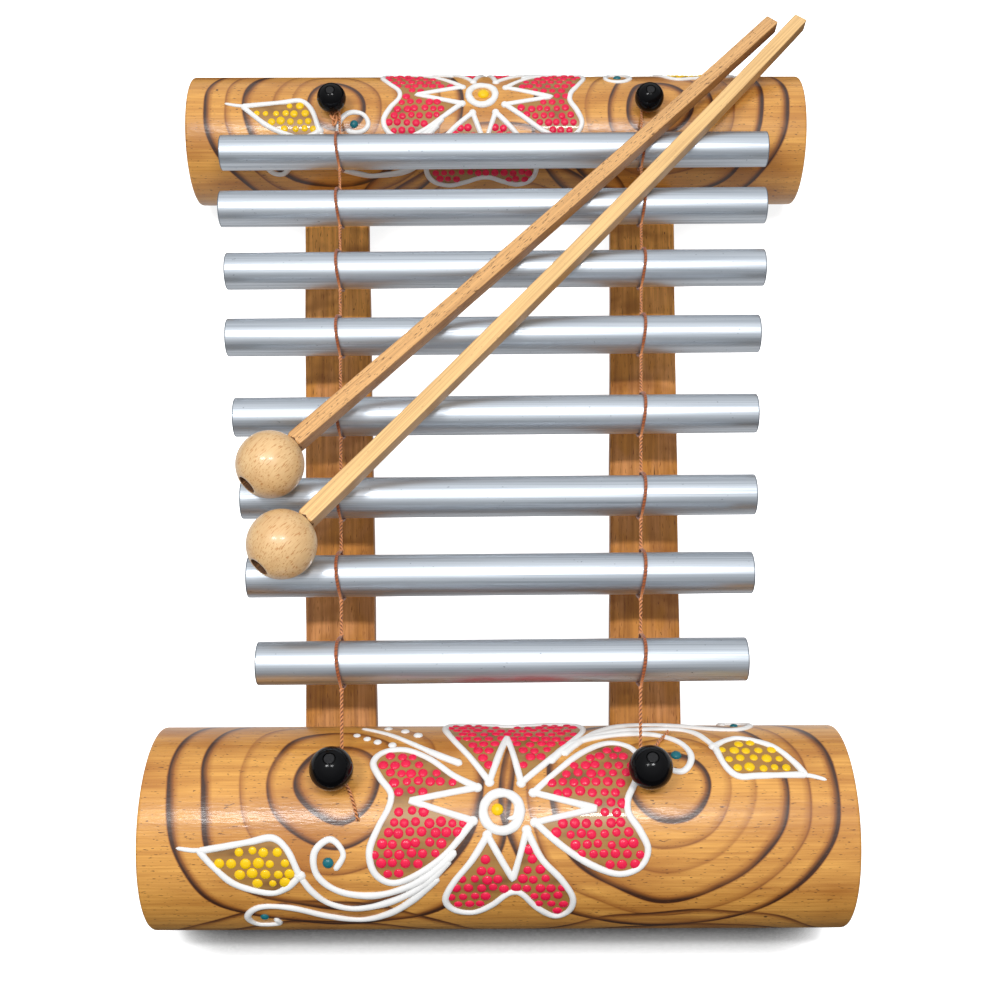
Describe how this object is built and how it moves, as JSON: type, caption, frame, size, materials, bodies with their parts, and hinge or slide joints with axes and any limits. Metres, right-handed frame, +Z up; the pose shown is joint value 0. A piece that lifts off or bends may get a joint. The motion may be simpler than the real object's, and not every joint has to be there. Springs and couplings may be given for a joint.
{
  "type": "tube metallophone",
  "caption": "Hand-made metallophone: metal tubes strung on twisted cords over a frame of bamboo culms and flat rails, with bead knobs and a pair of ball mallets laid on top.",
  "frame": {"origin": "on the surface that the instrument stands on, in the middle of the near culm's planed flat", "axes": "+X to the player's right along the culms, +Y from the near culm to the far one, +Z up"},
  "size_m": [0.2964, 0.4171, 0.1031],
  "materials": {
    "bamboo": "gloss varnish",
    "rail_wood": "satin varnish",
    "tube_aluminium": "satin, as drawn",
    "black_lacquer": "gloss black lacquer",
    "peg_wood": "stained",
    "copper_cord": "waxed and twisted",
    "head_wood": "turned and varnished",
    "dark_stick": "varnished",
    "pale_stick": "varnished"
  },
  "bodies": {
    "frame": {"near_culm": "bamboo", "far_culm": "bamboo", "left_rail": "rail_wood", "right_rail": "rail_wood", "near_left_bead": "black_lacquer", "near_right_bead": "black_lacquer", "far_left_bead": "black_lacquer", "far_right_bead": "black_lacquer", "near_left_peg": "peg_wood", "near_right_peg": "peg_wood", "far_left_peg": "peg_wood", "far_right_peg": "peg_wood", "left_cord": "copper_cord", "right_cord": "copper_cord"},
    "tube_1": {"tube_1": "tube_aluminium"},
    "tube_2": {"tube_2": "tube_aluminium"},
    "tube_3": {"tube_3": "tube_aluminium"},
    "tube_4": {"tube_4": "tube_aluminium"},
    "tube_5": {"tube_5": "tube_aluminium"},
    "tube_6": {"tube_6": "tube_aluminium"},
    "tube_7": {"tube_7": "tube_aluminium"},
    "tube_8": {"tube_8": "tube_aluminium"},
    "far_mallet": {"far_mallet_head": "head_wood", "far_mallet_stick": "dark_stick"},
    "near_mallet": {"near_mallet_head": "head_wood", "near_mallet_stick": "pale_stick"}
  },
  "joints": [
    {"name": "tube_1_give", "type": "slide", "parent": "frame", "child": "tube_1", "axis": [0, 0, 1], "range_m": [-0.004, 0], "stiffness_N_per_m": 400, "springref_m": 0.003, "deforming": ["left_cord", "right_cord"]},
    {"name": "tube_2_give", "type": "slide", "parent": "frame", "child": "tube_2", "axis": [0, 0, 1], "range_m": [-0.004, 0], "stiffness_N_per_m": 400, "springref_m": 0.003, "deforming": ["left_cord", "right_cord"]},
    {"name": "tube_3_give", "type": "slide", "parent": "frame", "child": "tube_3", "axis": [0, 0, 1], "range_m": [-0.004, 0], "stiffness_N_per_m": 400, "springref_m": 0.003, "deforming": ["left_cord", "right_cord"]},
    {"name": "tube_4_give", "type": "slide", "parent": "frame", "child": "tube_4", "axis": [0, 0, 1], "range_m": [-0.004, 0], "stiffness_N_per_m": 400, "springref_m": 0.003, "deforming": ["left_cord", "right_cord"]},
    {"name": "tube_5_give", "type": "slide", "parent": "frame", "child": "tube_5", "axis": [0, 0, 1], "range_m": [-0.004, 0], "stiffness_N_per_m": 400, "springref_m": 0.003, "deforming": ["left_cord", "right_cord"]},
    {"name": "tube_6_give", "type": "slide", "parent": "frame", "child": "tube_6", "axis": [0, 0, 1], "range_m": [-0.004, 0], "stiffness_N_per_m": 400, "springref_m": 0.003, "deforming": ["left_cord", "right_cord"]},
    {"name": "tube_7_give", "type": "slide", "parent": "frame", "child": "tube_7", "axis": [0, 0, 1], "range_m": [-0.004, 0], "stiffness_N_per_m": 400, "springref_m": 0.003, "deforming": ["left_cord", "right_cord"]},
    {"name": "tube_8_give", "type": "slide", "parent": "frame", "child": "tube_8", "axis": [0, 0, 1], "range_m": [-0.004, 0], "stiffness_N_per_m": 400, "springref_m": 0.003, "deforming": ["left_cord", "right_cord"]},
    {"name": "far_mallet_lift", "type": "slide", "parent": "frame", "child": "far_mallet", "axis": [0, 0, 1], "range_m": [0, 0.12]},
    {"name": "near_mallet_lift", "type": "slide", "parent": "frame", "child": "near_mallet", "axis": [0, 0, 1], "range_m": [0, 0.12]}
  ]
}
